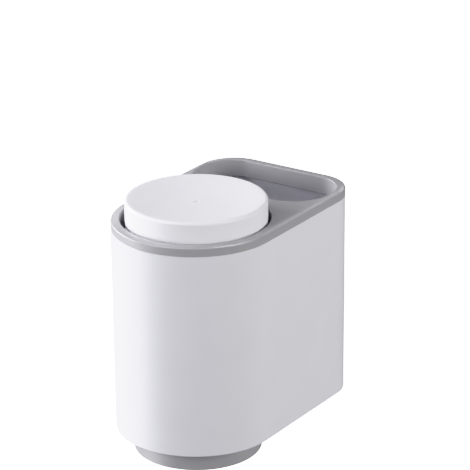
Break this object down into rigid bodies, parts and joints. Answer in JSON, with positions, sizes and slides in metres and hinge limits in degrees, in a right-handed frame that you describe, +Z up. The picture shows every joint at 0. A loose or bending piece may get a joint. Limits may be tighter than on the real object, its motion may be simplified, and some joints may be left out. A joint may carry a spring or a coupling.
{
  "type": "magnetic toothbrush holder",
  "caption": "Wall-hung toothbrush holder with a half-round front well for an upturned rinse cup, a brush compartment behind it and a magnetic boss below for hanging the cup.",
  "frame": {"origin": "centre of the adhesive pad's face on the wall", "axes": "+Y into the wall, +Z up, +X to the right as seen from the room; the rounded front faces -Y"},
  "size_m": [0.0852, 0.1319, 0.136],
  "materials": {
    "shell_plastic": "satin moulded white",
    "cup_plastic": "satin moulded white",
    "grey_plastic": "satin moulded grey",
    "plate_plastic": "moulded pale plastic",
    "foam_tape": "foam tape",
    "steel": "zinc plated",
    "magnet": "nickel plated"
  },
  "bodies": {
    "wall_mount": {"adhesive_pad": "foam_tape", "wall_plate": "plate_plastic"},
    "holder": {"outer_shell": "shell_plastic", "top_tray": "grey_plastic", "base_boss": "grey_plastic", "magnet_back_plate": "steel", "boss_magnet_1": "magnet", "boss_magnet_2": "magnet", "boss_magnet_3": "magnet", "boss_screw_1": "steel", "boss_screw_2": "steel", "boss_screw_3": "steel"},
    "cup": {"cup_body": "cup_plastic", "cup_base_cap": "cup_plastic", "cup_keeper_disc": "steel"}
  },
  "joints": [
    {"name": "holder_lift", "type": "slide", "parent": "wall_mount", "child": "holder", "axis": [0, 0, 1], "range_m": [0, 0.0083]},
    {"name": "cup_lift", "type": "slide", "parent": "holder", "child": "cup", "axis": [0, 0, 1], "range_m": [0, 0.11]}
  ]
}
